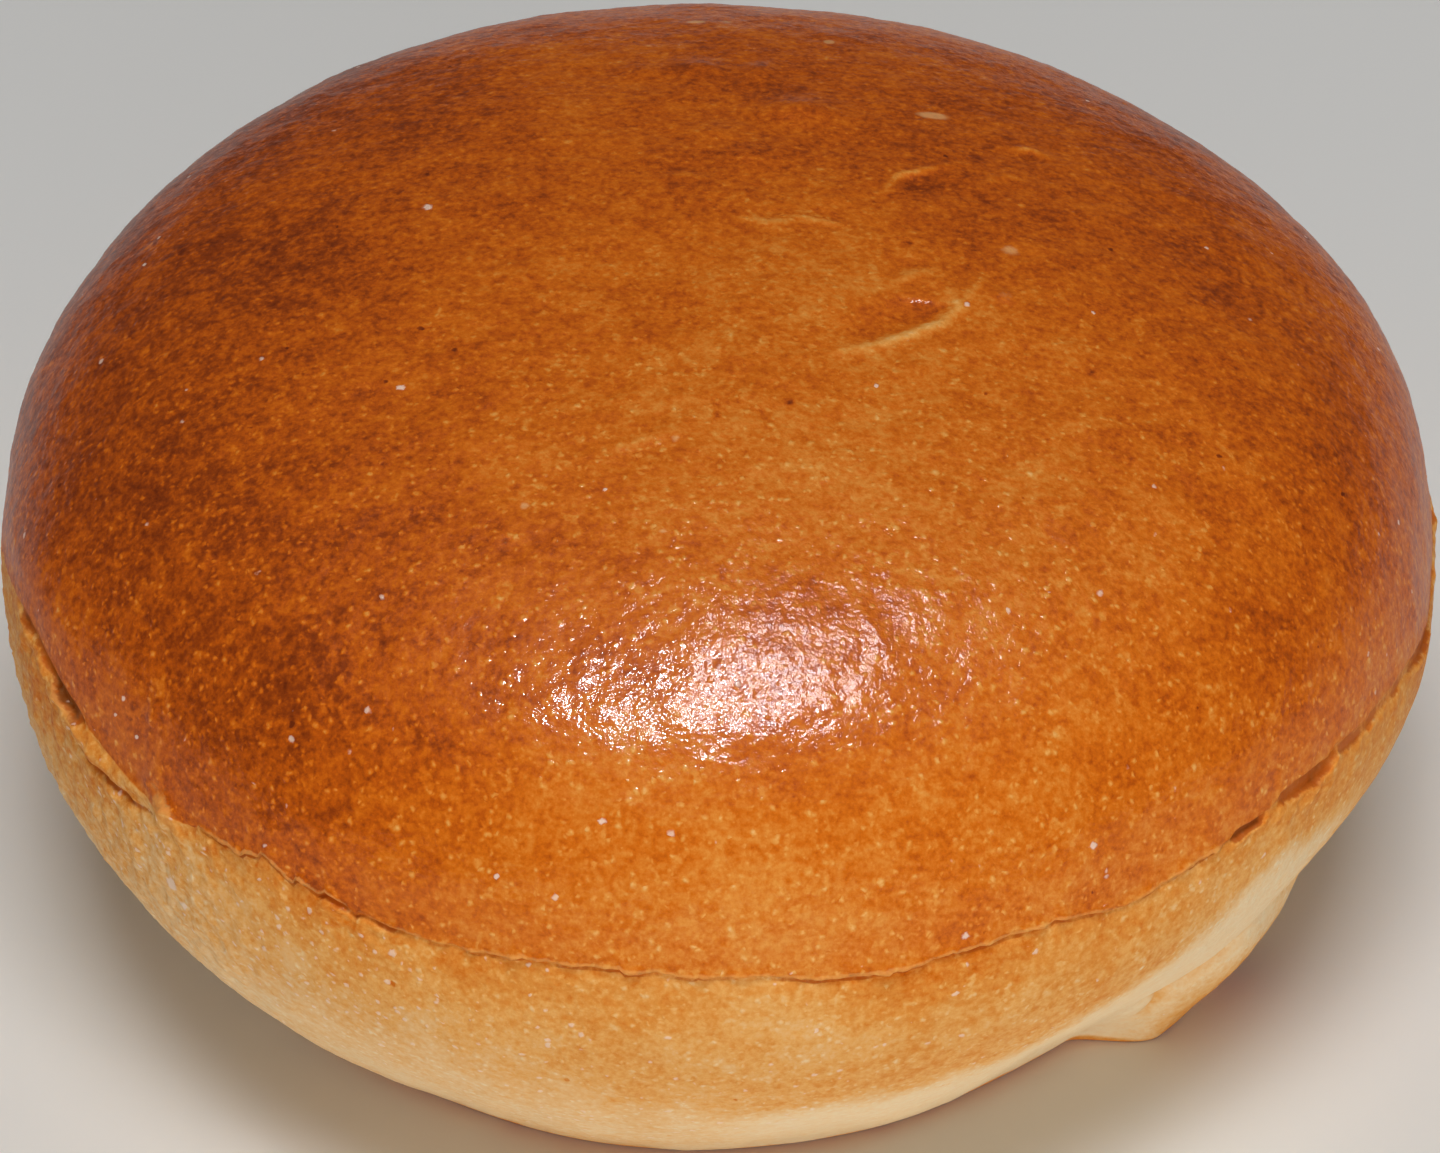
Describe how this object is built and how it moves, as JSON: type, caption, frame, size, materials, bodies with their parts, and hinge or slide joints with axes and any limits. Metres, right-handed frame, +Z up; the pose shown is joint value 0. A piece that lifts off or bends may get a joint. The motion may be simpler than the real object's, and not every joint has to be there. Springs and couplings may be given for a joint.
{
  "type": "burger bun",
  "caption": "Round glazed bread bun with a glossy browned dome, a torn seam round its side, a paler band below and a flat base to rest on.",
  "frame": {"origin": "centre of the flat base, on the surface that the bun rests on", "axes": "+Z is up, from the base to the crown. X and Y lie level. -Y is the side that the picture shows, and the pinch at the foot of the wall lies between +X and -Y."},
  "size_m": [0.1105, 0.1104, 0.054],
  "materials": {
    "crust": "satin"
  },
  "bodies": {
    "root": {"bun": "crust"}
  },
  "joints": []
}
